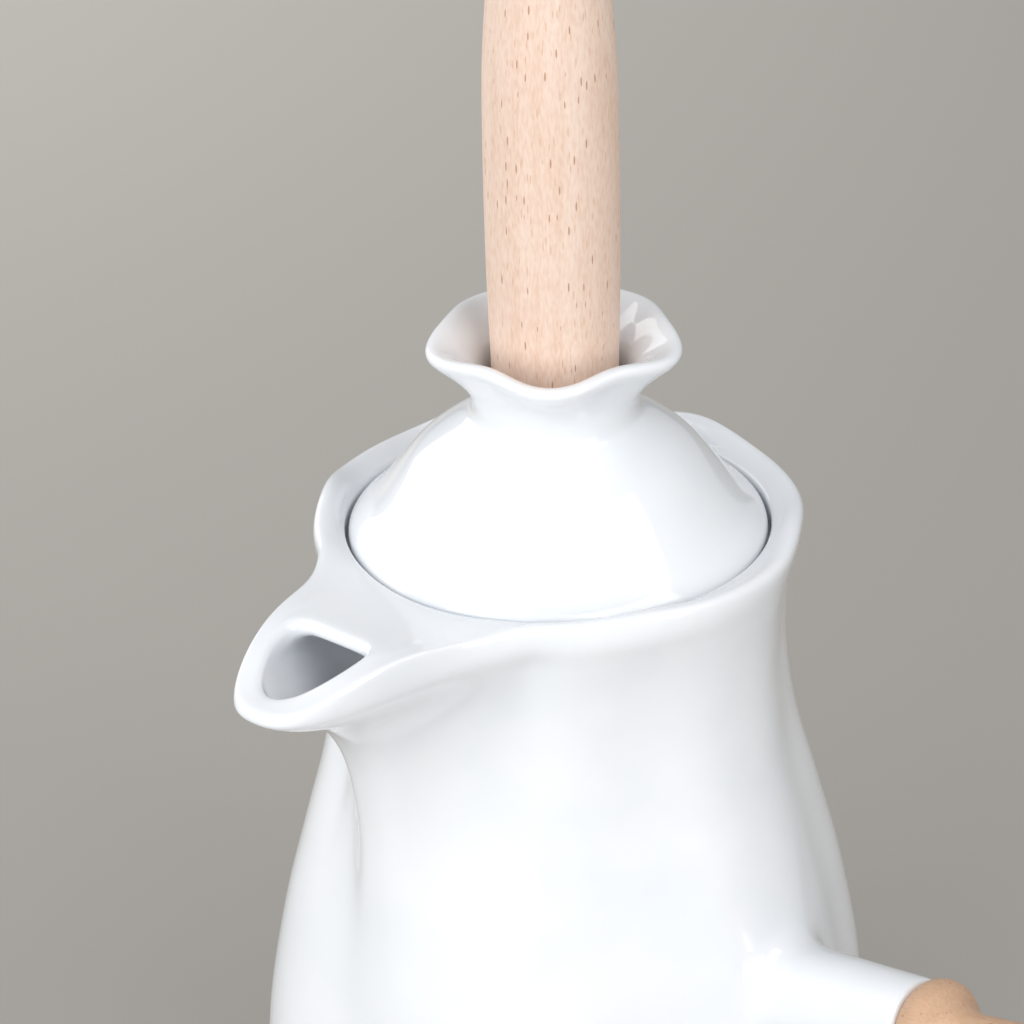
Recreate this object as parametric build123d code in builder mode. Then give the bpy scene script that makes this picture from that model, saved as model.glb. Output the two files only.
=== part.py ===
"""Porcelain chocolate pot: lobed body with a covered beak spout, drop-in lid with a flared collar,
turned stirrer standing in the collar, and a turned side handle cemented into a porcelain socket.

Frame: millimetres, +Z up, origin at the centre of the foot on the surface the pot stands on.
The side handle points along +X and the spout along -Y.
"""

from build123d import *
from math import cos, radians, sin
import os

# ---------------------------------------------------------------- driving dimensions, mm

# Lobed wall. Radii are measured on a lobe's crest, heights from the surface.
lobe_count = 6
foot_radius = 45.0
foot_ring_height = 4.5
foot_ring_width = 6.5
foot_recess = 3.0
foot_recess_draw = 1.5
foot_bevel = 1.0
foot_flare = 1.2
floor_thickness = 6.0
floor_embed = 1.0
floor_overlap = 3.0
belly_radius = 64.5
belly_height = 44.0
shoulder_draw = 7.3
shoulder_height = 94.5
waist_swell = 4.6
waist_height = 116.0
neck_draw = 3.1
neck_height = 145.0
rim_width = 6.3
wall_thickness = 4.5

# Depth of the grooves between the lobes, and how sharply they close.
belly_groove = 3.4
shoulder_groove = 3.0
waist_groove = 2.5
neck_groove = 1.8
rim_groove = 1.5
groove_power = 3.0

# Rim: rounded lip whose crest climbs towards each groove.
lid_edge_height = 170.0
rim_rise = 0.7
rim_wave = 3.2
lip_radius = 1.6

# Lid seat inside the rim.
lid_radius = 42.0
lid_edge_gap = 1.0
lid_flange = 3.8
ledge_width = 2.8
seat_depth = 15.0

# Spout. Distances along the spout are measured from the pot's axis.
spout_reach = 30.0
spout_half_angle = 12.0
spout_power = 3.2
spout_sector = 31.0
prow_stand = 2.8
prow_hollow = 2.2
skin_sink = 0.3
mouth_length = 20.0
mouth_lip = 6.0
mouth_half_width = 8.6
mouth_corner = 5.0
mouth_fillet = 1.6
deck_drop = 0.8
tip_drop = 4.6

# Handle socket and side handle, along a tilted axis.
socket_tilt = 9.9
socket_axis_height = 80.0
socket_stand = 3.8
socket_length = 31.0
socket_wall = 2.6
socket_taper = 1.0
socket_embed = 3.0
socket_fillet = 5.0
socket_bore_radius = 8.0
socket_bore_depth = 24.0
tenon_clearance = 0.4
tenon_end_gap = 1.0
bead_overhang = 0.7
bead_length = 8.5
bead_shoulder = 2.2
bead_foot = 2.6
cove_length = 7.0
handle_neck_radius = 6.2
handle_grip_radius = 12.0
handle_end_taper = 1.4
handle_length = 112.0
end_dome = 4.0
end_rounding = 5.0

# Lid.
lid_height = 41.3
lid_wall = 3.6
skirt_clearance = 0.9
skirt_depth = 12.0
throat_radius = 13.6
collar_wall = 3.0
collar_neck_height = 26.0
collar_radius = 23.8
collar_lip_radius = 1.35
ledge_web = 4.0
stem_clearance = 1.0
collar_waves = 5
collar_wave_angle = -52.4
collar_radial_wave = 1.4
collar_height_wave = 0.65
dome_edge_rounding = 2.2
dome_shoulder_rounding = 20.0
neck_rounding = 2.0
edge_break = 0.8

# Stirrer.
stirrer_top = 326.0
grip_radius = 13.15
grip_clearance = 1.15
grip_foot_break = 1.2
grip_straight = 4.0
grip_swell = 0.19
grip_neck_radius = 11.6
grip_widest_height = 254.0
grip_seat_drop = 3.0
grip_seat_gap = 0.3
knob_length = 31.0
knob_widest = 11.0
knob_draw = 0.4
shaft_radius = 6.5
shaft_chamfer = 0.8
shaft_socket_depth = 30.0
shaft_end_gap = 1.0
head_radius = 13.0
head_length = 46.0
head_groove_count = 8
head_groove_width = 3.6
head_groove_depth = 4.8
head_groove_stop = 5.0
head_foot_chamfer = 4.0
head_crown = 7.0
head_floor_gap = 6.0
shaft_fit = 0.05
pin_radius = 1.5
pin_depth = 12.0
pin_recess = 0.6
pin_fit = 0.02

# How far cutters start outside what they cut, and how high those at the rim reach over the lid's edge.
overcut = 1.0
rim_overcut = 12.0

# ---------------------------------------------------------------- derived sizes

cut_top = lid_edge_height + rim_overcut
floor_top = foot_recess + floor_thickness
ledge_height = lid_edge_height - lid_flange
recess_radius = lid_radius + lid_edge_gap
seat_bore_radius = recess_radius - ledge_width
rim_radius = recess_radius + rim_width
neck_radius = rim_radius - neck_draw
waist_radius = neck_radius + waist_swell
shoulder_radius = belly_radius - shoulder_draw
prow_reach = shoulder_radius + prow_stand
prow_waist = prow_reach - prow_hollow
spout_tip = prow_reach + spout_reach
mouth_front = spout_tip - mouth_lip
mouth_rear = mouth_front - mouth_length
socket_axis_reach = shoulder_radius + socket_stand
socket_radius = socket_bore_radius + socket_wall
socket_root_radius = socket_radius + socket_taper
bead_radius = socket_radius + bead_overhang
collar_neck_radius = throat_radius + collar_wall
grip_collar_radius = throat_radius - grip_clearance
lobe_angle = 360 / lobe_count
section_count = 9


def groove(angle):
    """How deep in the groove an angle from the lobe's crest lies: 0 on the crest, 1 in the groove."""
    return abs(sin(radians(angle) * lobe_count / 2)) ** groove_power


def radial_plane(angle):
    """Half plane through the pot's axis: x runs outwards, y runs up."""
    direction = (cos(radians(angle)), sin(radians(angle)), 0)
    normal = (sin(radians(angle)), -cos(radians(angle)), 0)
    return Plane(origin=(0, 0, 0), x_dir=direction, z_dir=normal)


# Outer wall stations: height, crest radius, groove depth.
wall_stations = [
    (belly_height, belly_radius, belly_groove),
    (shoulder_height, shoulder_radius, shoulder_groove),
    (waist_height, waist_radius, waist_groove),
    (neck_height, neck_radius, neck_groove),
]
foot_start = (foot_radius + foot_flare, foot_ring_height)


def outer_points(turn):
    """Points of the outer wall, foot to rim, in the radial plane at an angle from a lobe's crest."""
    rim_share = groove(turn) ** 1.5
    lip_height = lid_edge_height + rim_rise + rim_wave * rim_share - lip_radius
    stations = [(radius - depth * groove(turn), height) for height, radius, depth in wall_stations]
    return [foot_start, *stations, (rim_radius - rim_groove * rim_share, lip_height)]


wall_tangents = ((1.1, 0.75), (0.32, 1))
crest_curve = Spline(*outer_points(0), tangents=wall_tangents)
groove_curve = Spline(*outer_points(lobe_angle / 2), tangents=wall_tangents)


def curve_radius(curve, height):
    """Radius at which a wall curve passes a height."""
    low, high = 0.0, 1.0
    for _ in range(24):
        middle = (low + high) / 2
        if (curve @ middle).Y < height:
            low = middle
        else:
            high = middle
    return (curve @ low).X


def wall_radius(height, turn):
    """Outer radius of the lobed wall at a height and an angle from a lobe's crest."""
    crest = curve_radius(crest_curve, height)
    return crest - (crest - curve_radius(groove_curve, height)) * groove(turn)


# ---------------------------------------------------------------- pot body

# One lobe, ruled through radial sections from groove to groove, close enough to stay round to the eye.
with BuildPart() as lobe:
    for index in range(section_count):
        turn = lobe_angle * (index / (section_count - 1) - 0.5)
        outer = outer_points(turn)
        inner = [(radius - wall_thickness, height) for radius, height in outer[1:-1]]
        lip_side = outer[-1]
        lip_crest = (lip_side[0] - lip_radius, lip_side[1] + lip_radius)
        flare_middle = (recess_radius + 1.8, lid_edge_height + 0.22 * (lip_crest[1] - lid_edge_height) - 0.2)
        flare_end = (seat_bore_radius - 1.5, lid_edge_height - 1.3)
        inner_top = (seat_bore_radius - 1.5, ledge_height - seat_depth + 4)
        foot_inside = (foot_radius - foot_ring_width, foot_ring_height)
        floor_edge = (foot_radius - foot_ring_width, floor_top - floor_embed)
        with BuildSketch(radial_plane(turn)):
            with BuildLine():
                Spline(*outer, tangents=wall_tangents)
                RadiusArc(lip_side, lip_crest, -lip_radius)
                ThreePointArc(lip_crest, flare_middle, flare_end)
                Line(flare_end, inner_top)
                Line(inner_top, inner[-1])
                Spline(*reversed(inner), floor_edge, tangents=((0.06, -1), (-1, -0.35)))
                Line(floor_edge, foot_inside)
                Line(foot_inside, foot_start)
            make_face()
    loft(ruled=True)

# Spout skin: how far the nose stands from the axis, at drops below the lid's edge.
prow_line = [
    (-112, prow_reach - 0.4),
    (-84, prow_reach - 0.4),
    (-66, prow_waist),
    (-50, prow_waist + 0.2),
    (-38, prow_reach - 0.4),
    (-29, prow_reach + 1.8),
    (-22, prow_reach + 5.6),
    (-16, prow_reach + 11.5),
    (-12.5, spout_tip - 12.5),
    (-10.8, spout_tip - 6.0),
    (-9, spout_tip - 2.0),
    (-6.5, spout_tip),
    (-2, spout_tip),
    (2, spout_tip),
]
skin_angles = [0, 4, 7.5, 10.5, 14, 19, 25, spout_sector]


def spout_share(angle):
    """How much of the nose's reach is left at an angle from the spout's middle plane."""
    edge_share = 1 / (1 + (spout_sector / spout_half_angle) ** spout_power)
    share = 1 / (1 + (angle / spout_half_angle) ** spout_power)
    return (share - edge_share) / (1 - edge_share)


def skin_point(height, nose, angle):
    """Point of the spout's skin at a height, for a nose distance and a signed angle from -Y."""
    middle_wall = wall_radius(height, lobe_angle / 2) - skin_sink
    wall = wall_radius(height, lobe_angle / 2 - abs(angle)) - skin_sink
    radius = wall + (nose - middle_wall) * spout_share(abs(angle))
    return (radius * sin(radians(angle)), -radius * cos(radians(angle)))


def back_point(height, angle):
    """Point in the middle of the wall's thickness at a height and a signed angle from -Y."""
    radius = wall_radius(height, lobe_angle / 2 - abs(angle)) - wall_thickness / 2
    return (radius * sin(radians(angle)), -radius * cos(radians(angle)))


with BuildPart() as spout_skin:
    for drop, nose in prow_line:
        height = lid_edge_height + drop
        signed_angles = [-angle for angle in reversed(skin_angles[1:])] + skin_angles
        skin = [skin_point(height, nose, angle) for angle in signed_angles]
        back = [back_point(height, angle) for angle in (spout_sector, 0, -spout_sector)]
        with BuildSketch(Plane.XY.offset(height)):
            with BuildLine():
                Spline(*skin)
                Line(skin[-1], back[0])
                ThreePointArc(*back)
                Line(back[-1], skin[0])
            make_face()
    loft(ruled=True)

# Everything above the spout's deck, which sags between its ridges and falls towards the tip.
deck_half_width = (rim_radius + 1) * sin(radians(spout_sector + 1))
deck_edge_rise = rim_rise + 0.1 + deck_drop
deck_line = [(36, 0), (50, 0), (60, 0.1), (68, 0.6), (78, 0.5 * tip_drop), (spout_tip + 4, tip_drop)]
with BuildPart() as above_deck:
    for distance, fall in deck_line:
        middle = lid_edge_height - deck_drop - fall
        edge = middle + deck_edge_rise
        top = cut_top
        with BuildSketch(Plane(origin=(0, -distance, 0), x_dir=(1, 0, 0), z_dir=(0, -1, 0))):
            with BuildLine():
                ThreePointArc((-deck_half_width, edge), (0, middle), (deck_half_width, edge))
                Polyline(
                    (deck_half_width, edge),
                    (deck_half_width, top),
                    (-deck_half_width, top),
                    (-deck_half_width, edge),
                )
            make_face()
    loft()

# Channel from the pot's inside to the mouth: drop, rear, front and half width of level sections.
channel_line = [
    (-50, 33, prow_reach - 9.5, 6.0),
    (-42, 33, prow_reach - 6.6, 7.6),
    (-30, 33, prow_reach - 3.2, 8.4),
    (-20, 34, prow_reach + 2.5, 8.8),
    (-13, mouth_rear - 26, mouth_front - 13, 9.0),
    (-8, mouth_rear - 13, mouth_front - 5, 9.0),
    (-4.5, mouth_rear - 3.5, mouth_front - 1.5, 8.8),
    (-1, mouth_rear, mouth_front, mouth_half_width),
    (5, mouth_rear + 2, mouth_front + 2, mouth_half_width),
]
with BuildPart() as channel:
    for drop, rear, front, half_width in channel_line:
        with BuildSketch(Plane.XY.offset(lid_edge_height + drop)):
            with Locations((0, -(rear + front) / 2)):
                RectangleRounded(2 * half_width, front - rear, mouth_corner)
    loft()

# Tilted frame of the handle: x runs out along its axis from the wall, y runs up.
tilt = radians(socket_tilt)
handle_plane = Plane(
    origin=(socket_axis_reach, 0, socket_axis_height),
    x_dir=(cos(tilt), 0, sin(tilt)),
    z_dir=(0, -1, 0),
)
handle_axis = Axis((socket_axis_reach, 0, socket_axis_height), (cos(tilt), 0, sin(tilt)))
bore_bottom = socket_length - socket_bore_depth

with BuildPart() as pot_body:
    with PolarLocations(0, lobe_count):
        add(lobe.part)
    # Floor and foot ring.
    with BuildSketch(Plane.XZ):
        with BuildLine():
            ring_inside = foot_radius - foot_ring_width
            ring_top = foot_ring_height + foot_bevel
            Line((0, foot_recess), (ring_inside - foot_recess_draw, foot_recess))
            Line((ring_inside - foot_recess_draw, foot_recess), (ring_inside + foot_bevel, 0))
            Line((ring_inside + foot_bevel, 0), (foot_radius - foot_bevel, 0))
            Line((foot_radius - foot_bevel, 0), (foot_radius, foot_bevel))
            Line((foot_radius, foot_bevel), (foot_radius, ring_top))
            Line((foot_radius, ring_top), (ring_inside + floor_overlap, floor_top))
            Line((ring_inside + floor_overlap, floor_top), (0, floor_top))
            Line((0, floor_top), (0, foot_recess))
        make_face()
    revolve(axis=Axis.Z)
    add(spout_skin.part)
    # Handle socket, a tapered stub luted to the wall.
    with BuildSketch(handle_plane):
        Polygon(
            (-socket_embed, 0),
            (socket_length, 0),
            (socket_length, socket_radius),
            (-socket_embed, socket_root_radius),
            align=None,
        )
    revolve(axis=handle_axis)
    fillet(pot_body.edges(Select.LAST).sort_by(handle_axis)[0], socket_fillet)
    # Lid seat.
    with BuildSketch(Plane.XZ):
        Polygon(
            (0, ledge_height - seat_depth),
            (seat_bore_radius, ledge_height - seat_depth),
            (seat_bore_radius, ledge_height),
            (recess_radius, ledge_height),
            (recess_radius, cut_top),
            (0, cut_top),
            align=None,
        )
    revolve(axis=Axis.Z, mode=Mode.SUBTRACT)
    add(above_deck.part, mode=Mode.SUBTRACT)
    add(channel.part, mode=Mode.SUBTRACT)
    channel_edges = pot_body.edges(Select.LAST).filter_by_position(Axis.Y, -mouth_front, 1 - mouth_rear)
    fillet(channel_edges.filter_by_position(Axis.Z, lid_edge_height - 5, lid_edge_height), mouth_fillet)
    # Blind bore for the handle's tenon.
    with BuildSketch(handle_plane):
        Polygon(
            (bore_bottom, 0),
            (socket_length + 1, 0),
            (socket_length + 1, socket_bore_radius),
            (bore_bottom, socket_bore_radius),
            align=None,
        )
    revolve(axis=handle_axis, mode=Mode.SUBTRACT)

# ---------------------------------------------------------------- side handle and its cement bed

tenon_radius = socket_bore_radius - tenon_clearance
tenon_start = bore_bottom + tenon_end_gap
bead_end = socket_length + bead_length
neck_end = bead_end + cove_length
grip_widest = neck_end + 0.6 * (handle_length - bead_length)
grip_middle = ((neck_end + grip_widest) / 2, (handle_neck_radius + handle_grip_radius) / 2)
handle_end = socket_length + handle_length
handle_corner = (handle_end - end_dome, handle_grip_radius - handle_end_taper)

with BuildPart() as side_handle:
    with BuildSketch(handle_plane) as handle_profile:
        with BuildLine():
            Line((tenon_start, 0), (tenon_start, tenon_radius))
            Line((tenon_start, tenon_radius), (socket_length, tenon_radius))
            Line((socket_length, tenon_radius), (socket_length, bead_radius - bead_shoulder))
            ThreePointArc(
                (socket_length, bead_radius - bead_shoulder),
                (socket_length + bead_length / 2, bead_radius),
                (bead_end, bead_radius - bead_foot),
            )
            ThreePointArc(
                (bead_end, bead_radius - bead_foot),
                (bead_end + cove_length / 3, handle_neck_radius + 0.1 * cove_length),
                (neck_end, handle_neck_radius),
            )
            swell = TangentArc((neck_end, handle_neck_radius), grip_middle, tangent=(1, 0))
            crown = TangentArc(grip_middle, (grip_widest, handle_grip_radius), tangent=swell % 1)
            TangentArc(crown @ 1, handle_corner, tangent=(1, 0))
            TangentArc((handle_end, 0), handle_corner, tangent=(0, 1))
            Line((handle_end, 0), (tenon_start, 0))
        make_face()
        fillet(handle_profile.vertices().sort_by_distance(handle_corner)[0], end_rounding)
    revolve(axis=handle_axis)
side_handle.part.label = "side_handle"

with BuildPart() as handle_cement:
    with BuildSketch(handle_plane):
        Polygon(
            (bore_bottom, 0),
            (tenon_start, 0),
            (tenon_start, tenon_radius),
            (socket_length, tenon_radius),
            (socket_length, socket_bore_radius),
            (bore_bottom, socket_bore_radius),
            align=None,
        )
    revolve(axis=handle_axis)
handle_cement.part.label = "handle_cement"

# ---------------------------------------------------------------- lid

lid_top = lid_edge_height + lid_height
neck_height_on_lid = lid_edge_height + collar_neck_height
skirt_radius = seat_bore_radius - skirt_clearance
skirt_inside = skirt_radius - lid_wall
dome_edge = (lid_radius, lid_edge_height + 0.6)
flank_top = (lid_radius - 14.6, lid_edge_height + 17.6)
dome_neck = (collar_neck_radius, neck_height_on_lid - 2.4)
skirt_bottom = ledge_height - skirt_depth
stick_seat = neck_height_on_lid - grip_seat_drop
stem_bore_radius = shaft_radius + stem_clearance
wave_angle = 360 / collar_waves
wave_sections = 7

# One wave of the collar, ruled through radial sections from trough to trough.
with BuildPart() as collar_wave:
    for index in range(wave_sections):
        turn = wave_angle * (index / (wave_sections - 1) - 0.5)
        wave = cos(radians(turn * collar_waves))
        lip_reach = collar_radius + collar_radial_wave * wave
        lip_top = lid_top - collar_height_wave * wave
        lip_outside = (lip_reach, lip_top - collar_lip_radius)
        lip_inside = (lip_reach - 2 * collar_lip_radius, lip_top - collar_lip_radius)
        with BuildSketch(radial_plane(turn)):
            with BuildLine():
                Line((throat_radius, neck_height_on_lid), (collar_neck_radius, neck_height_on_lid))
                TangentArc((collar_neck_radius, neck_height_on_lid), lip_outside, tangent=(0.1, 1))
                ThreePointArc(lip_outside, (lip_reach - collar_lip_radius, lip_top), lip_inside)
                TangentArc((throat_radius, neck_height_on_lid), lip_inside, tangent=(0, 1))
            make_face()
    loft(ruled=True)

with BuildPart() as lid:
    # Dome, locating skirt, and the throat with the ledge that carries the stirrer's stick.
    with BuildSketch(Plane.XZ) as dome_profile:
        with BuildLine():
            Polyline(
                (lid_radius - edge_break, ledge_height),
                (lid_radius, ledge_height + edge_break),
                dome_edge,
                flank_top,
                dome_neck,
                (collar_neck_radius, neck_height_on_lid),
                (throat_radius, neck_height_on_lid),
                (throat_radius, stick_seat),
                (stem_bore_radius, stick_seat),
                (stem_bore_radius, stick_seat - ledge_web),
                (throat_radius, stick_seat - ledge_web),
                (flank_top[0] - 0.6 * lid_wall, flank_top[1] - 0.9 * lid_wall),
                (skirt_inside, dome_edge[1] + 1.0),
                (skirt_inside, skirt_bottom),
                (skirt_radius, skirt_bottom),
                (skirt_radius, ledge_height),
                (lid_radius - edge_break, ledge_height),
            )
        make_face()
        fillet(dome_profile.vertices().sort_by_distance(dome_edge)[0], dome_edge_rounding)
        fillet(dome_profile.vertices().sort_by_distance(flank_top)[0], dome_shoulder_rounding)
        fillet(dome_profile.vertices().sort_by_distance(dome_neck)[0], neck_rounding)
    revolve(axis=Axis.Z)
    with PolarLocations(0, collar_waves, start_angle=collar_wave_angle):
        add(collar_wave.part)
lid.part.label = "lid"

# ---------------------------------------------------------------- stirrer

head_bottom = floor_top + head_floor_gap
head_top = head_bottom + head_length
grip_bottom = stick_seat + grip_seat_gap
shaft_top = grip_bottom + shaft_socket_depth
pin_height = head_top - pin_depth

with BuildPart() as stirrer_grip:
    with BuildSketch(Plane.XZ) as grip_profile:
        with BuildLine():
            foot = (grip_collar_radius - grip_foot_break, grip_bottom)
            foot_side = (grip_collar_radius, grip_bottom + grip_foot_break)
            stick_low = (grip_collar_radius, lid_top + grip_straight)
            stick_wide = (grip_radius, grip_widest_height)
            stick_neck = (grip_neck_radius, stirrer_top - knob_length)
            knob = (grip_radius, stirrer_top - knob_widest)
            knob_corner = (grip_radius - knob_draw, stirrer_top - end_dome)
            swell = (grip_radius - grip_swell, (stick_low[1] + grip_widest_height) / 2)
            middle = (stick_wide[1] + stick_neck[1]) / 2
            upper = (stick_neck[1] + knob[1]) / 2
            Line((0, grip_bottom), foot)
            Line(foot, foot_side)
            Line(foot_side, stick_low)
            ThreePointArc(stick_low, swell, stick_wide)
            fall = TangentArc(stick_wide, ((grip_radius + grip_neck_radius) / 2, middle), tangent=(0, 1))
            waist = TangentArc(fall @ 1, stick_neck, tangent=fall % 1)
            rise = TangentArc(waist @ 1, ((grip_radius + grip_neck_radius) / 2, upper), tangent=(0, 1))
            crown = TangentArc(rise @ 1, knob, tangent=rise % 1)
            TangentArc(crown @ 1, knob_corner, tangent=(0, 1))
            TangentArc((0, stirrer_top), knob_corner, tangent=(1, 0))
            Line((0, stirrer_top), (0, grip_bottom))
        make_face()
        fillet(grip_profile.vertices().sort_by_distance(knob_corner)[0], end_rounding)
    revolve(axis=Axis.Z)
    # Socket for the shaft.
    with Locations((0, 0, grip_bottom)):
        Cylinder(
            shaft_radius + shaft_fit,
            shaft_socket_depth + shaft_end_gap,
            align=(Align.CENTER, Align.CENTER, Align.MIN),
            mode=Mode.SUBTRACT,
        )
stirrer_grip.part.label = "stirrer_grip"

with BuildPart() as stirrer_head:
    with BuildSketch(Plane.XZ):
        with BuildLine():
            Polyline(
                (0, head_bottom),
                (head_radius - head_foot_chamfer, head_bottom),
                (head_radius, head_bottom + head_foot_chamfer),
                (head_radius, head_top - head_crown),
                (head_radius - 0.2 * head_crown, head_top - 0.4 * head_crown),
                (head_radius - 0.6 * head_crown, head_top),
                (0, head_top),
                (0, head_bottom),
            )
        make_face()
    revolve(axis=Axis.Z)
    # Frothing grooves round the head, open at its base and closed under its crown.
    with BuildSketch(Plane.XY.offset(head_bottom - overcut)):
        with PolarLocations(head_radius, head_groove_count):
            Rectangle(2 * head_groove_depth, head_groove_width)
    extrude(amount=head_length - head_crown - head_groove_stop, mode=Mode.SUBTRACT)
    # Through bore for the shaft and cross bore for the pin.
    with Locations((0, 0, head_bottom - overcut)):
        Cylinder(
            shaft_radius + shaft_fit,
            head_length + 2 * overcut,
            align=(Align.CENTER, Align.CENTER, Align.MIN),
            mode=Mode.SUBTRACT,
        )
    with BuildSketch(Plane.YZ.offset(-head_radius - overcut)):
        with Locations((0, pin_height)):
            Circle(pin_radius + pin_fit)
    extrude(amount=2 * (head_radius + overcut), mode=Mode.SUBTRACT)
stirrer_head.part.label = "stirrer_head"

with BuildPart() as stirrer_shaft:
    with BuildSketch(Plane.XY.offset(head_bottom)):
        Circle(shaft_radius)
    extrude(amount=shaft_top - head_bottom)
    chamfer(stirrer_shaft.edges().filter_by(GeomType.CIRCLE), shaft_chamfer)
    with BuildSketch(Plane.YZ.offset(-shaft_radius - overcut)):
        with Locations((0, pin_height)):
            Circle(pin_radius + pin_fit)
    extrude(amount=2 * (shaft_radius + overcut), mode=Mode.SUBTRACT)
stirrer_shaft.part.label = "stirrer_shaft"

with BuildPart() as stirrer_head_pin:
    with BuildSketch(Plane.YZ.offset(pin_recess - head_radius)):
        with Locations((0, pin_height)):
            Circle(pin_radius)
    extrude(amount=2 * (head_radius - pin_recess))
stirrer_head_pin.part.label = "stirrer_head_pin"

# ---------------------------------------------------------------- files

pot_body.part.label = "pot_body"
nodes = [
    pot_body,
    lid,
    side_handle,
    handle_cement,
    stirrer_grip,
    stirrer_shaft,
    stirrer_head,
    stirrer_head_pin,
]
os.makedirs("parts", exist_ok=True)
for node in nodes:
    export_step(node.part, f"parts/{node.part.label}.step")
    print(node.part.label, len(node.part.solids()), node.part.is_valid, len(node.part.faces()))
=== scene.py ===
"""Looks of the lobed porcelain chocolate pot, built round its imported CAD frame.

The pot, the lid and the stirrer's stick are modelled again as subdivision surfaces over their CAD
solids, and every piece gets a procedural finish. +Z is up, the side handle points along +X and the
spout along -Y. Cages are drawn in millimetres and scaled to metres when they are finished.
"""

from __future__ import annotations

import logging
import math
from collections.abc import Callable, Iterable, Sequence
from dataclasses import dataclass, field
from enum import Enum

import bmesh
import bpy
from mathutils import Matrix, Vector


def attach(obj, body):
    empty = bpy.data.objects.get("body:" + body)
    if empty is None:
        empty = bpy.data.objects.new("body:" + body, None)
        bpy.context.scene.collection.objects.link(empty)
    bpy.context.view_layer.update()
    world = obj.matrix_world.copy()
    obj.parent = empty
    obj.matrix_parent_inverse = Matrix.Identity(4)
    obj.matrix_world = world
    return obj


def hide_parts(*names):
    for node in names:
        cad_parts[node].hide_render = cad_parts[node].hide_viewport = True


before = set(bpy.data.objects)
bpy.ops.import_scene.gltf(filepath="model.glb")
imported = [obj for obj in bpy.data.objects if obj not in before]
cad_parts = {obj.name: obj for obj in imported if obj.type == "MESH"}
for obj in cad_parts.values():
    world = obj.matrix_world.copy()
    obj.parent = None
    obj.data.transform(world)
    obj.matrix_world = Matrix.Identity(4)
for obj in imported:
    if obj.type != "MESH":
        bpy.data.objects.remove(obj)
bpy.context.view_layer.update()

LOG = logging.getLogger("chocolate_pot")
MM = 0.001
WELD_MM = 0.02
MIX_FACTOR, MIX_FIRST, MIX_SECOND, MIX_RESULT = 0, 6, 7, 2
Colour = tuple[float, float, float, float]
Triple = tuple[float, float, float]
Pair = tuple[float, float]
Stations = tuple[Pair, ...]


class Body(Enum):
    """The bodies that move."""

    POT = "pot"
    LID = "lid"
    STIRRER = "stirrer"


# ---------------------------------------------------------------- shader sheets


class Signal:
    """A value that varies over a surface. Arithmetic on it adds Math nodes to its sheet."""

    def __init__(self, sheet: "FinishSheet", socket: bpy.types.NodeSocket) -> None:
        """Keeps the sheet and the output socket."""
        self.sheet = sheet
        self.socket = socket

    def _math(self, operation: str, first: "Signal | float", second: "Signal | float") -> "Signal":
        """Adds one Math node."""
        return self.sheet.node("ShaderNodeMath", {"operation": operation}, {0: first, 1: second})

    def __add__(self, other: "Signal | float") -> "Signal":
        """self + other."""
        return self._math("ADD", self, other)

    def __rsub__(self, other: float) -> "Signal":
        """other - self."""
        return self._math("SUBTRACT", other, self)

    def __mul__(self, other: "Signal | float") -> "Signal":
        """self * other."""
        return self._math("MULTIPLY", self, other)

    __radd__ = __add__

    def step(self, low: float, high: float) -> "Signal":
        """Rises softly from 0 at low to 1 at high, or falls where low is above high."""
        return self.sheet.node(
            "ShaderNodeMapRange",
            {"interpolation_type": "SMOOTHSTEP"},
            {"Value": self, "From Min": low, "From Max": high},
        )


class FinishSheet:
    """A material being written: its node tree and its Principled shader."""

    def __init__(self, name: str) -> None:
        """Starts an empty material that ends in a Principled shader."""
        self.material = bpy.data.materials.new(name)
        self.material.use_nodes = True
        self.tree = self.material.node_tree
        self.tree.nodes.clear()
        output = self.tree.nodes.new("ShaderNodeOutputMaterial")
        self.surface = self.tree.nodes.new("ShaderNodeBsdfPrincipled")
        self.tree.links.new(self.surface.outputs[0], output.inputs["Surface"])

    def node(
        self,
        kind: str,
        settings: dict[str, object] | None = None,
        inputs: dict[int | str, object] | None = None,
        output: int | str = 0,
    ) -> Signal:
        """Adds a node.

        Args:
            kind: The node's type.
            settings: Its own settings, set first.
            inputs: Values or signals for its sockets.
            output: The output to hand back.

        Returns:
            The output as a signal.
        """
        made = self.tree.nodes.new(kind)
        for key, value in (settings or {}).items():
            setattr(made, key, value)
        for key, value in (inputs or {}).items():
            self._feed(made.inputs[key], value)
        return Signal(self, made.outputs[output])

    def _feed(self, socket: bpy.types.NodeSocket, value: object) -> None:
        """Links a signal to a socket or sets its value."""
        if isinstance(value, Signal):
            self.tree.links.new(value.socket, socket)
        else:
            socket.default_value = value

    def dress(self, **sockets: object) -> None:
        """Feeds the Principled shader, with underscores for the spaces of its socket names."""
        for name, value in sockets.items():
            self._feed(self.surface.inputs[name.replace("_", " ")], value)

    def place(self) -> Signal:
        """The point's own place in the object's frame."""
        return self.node("ShaderNodeTexCoord", output="Object")

    def mix(
        self, factor: Signal | float, first: Signal | Colour, second: Signal | Colour
    ) -> Signal:
        """Goes from the first colour to the second."""
        sockets = {MIX_FACTOR: factor, MIX_FIRST: first, MIX_SECOND: second}
        return self.node("ShaderNodeMix", {"data_type": "RGBA"}, sockets, MIX_RESULT)

    def noise(
        self, place: Signal, scale: float, detail: float = 2.0, roughness: float = 0.5
    ) -> Signal:
        """A soft cloud from 0 to 1."""
        sockets = {"Vector": place, "Scale": scale, "Detail": detail, "Roughness": roughness}
        return self.node("ShaderNodeTexNoise", inputs=sockets)

    def bump(self, height: Signal, depth: float) -> Signal:
        """A bump whose heights from 0 to 1 are depth metres."""
        sockets = {"Strength": 1.0, "Distance": depth, "Height": height}
        return self.node("ShaderNodeBump", inputs=sockets)


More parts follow.
